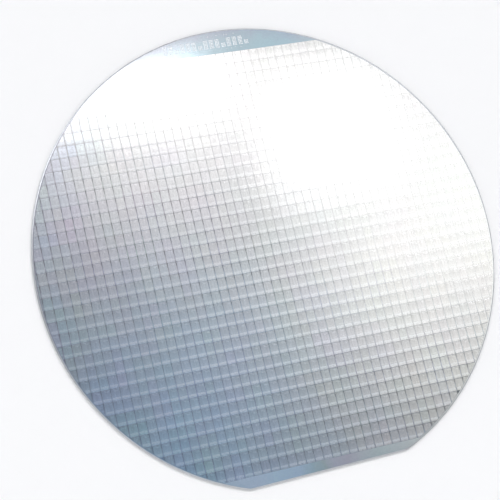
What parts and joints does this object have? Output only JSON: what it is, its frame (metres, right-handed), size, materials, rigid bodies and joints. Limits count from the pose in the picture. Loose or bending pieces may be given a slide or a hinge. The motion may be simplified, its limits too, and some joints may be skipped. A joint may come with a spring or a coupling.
{
  "type": "silicon wafer",
  "caption": "Thin round slice of silicon with a straight primary flat and a ground edge, its front printed with a grid of rectangular dies.",
  "frame": {"origin": "centre of the round part of the rim, on the flat back face that the wafer rests on", "axes": "+Z through the printed front face, -Y out through the middle of the primary flat, +X along the flat"},
  "size_m": [0.125, 0.1212, 0.0006],
  "materials": {
    "silicon": "satin",
    "printed_dies": "satin",
    "bare_film": "gloss"
  },
  "bodies": {
    "root": {"wafer": "silicon"}
  },
  "joints": []
}
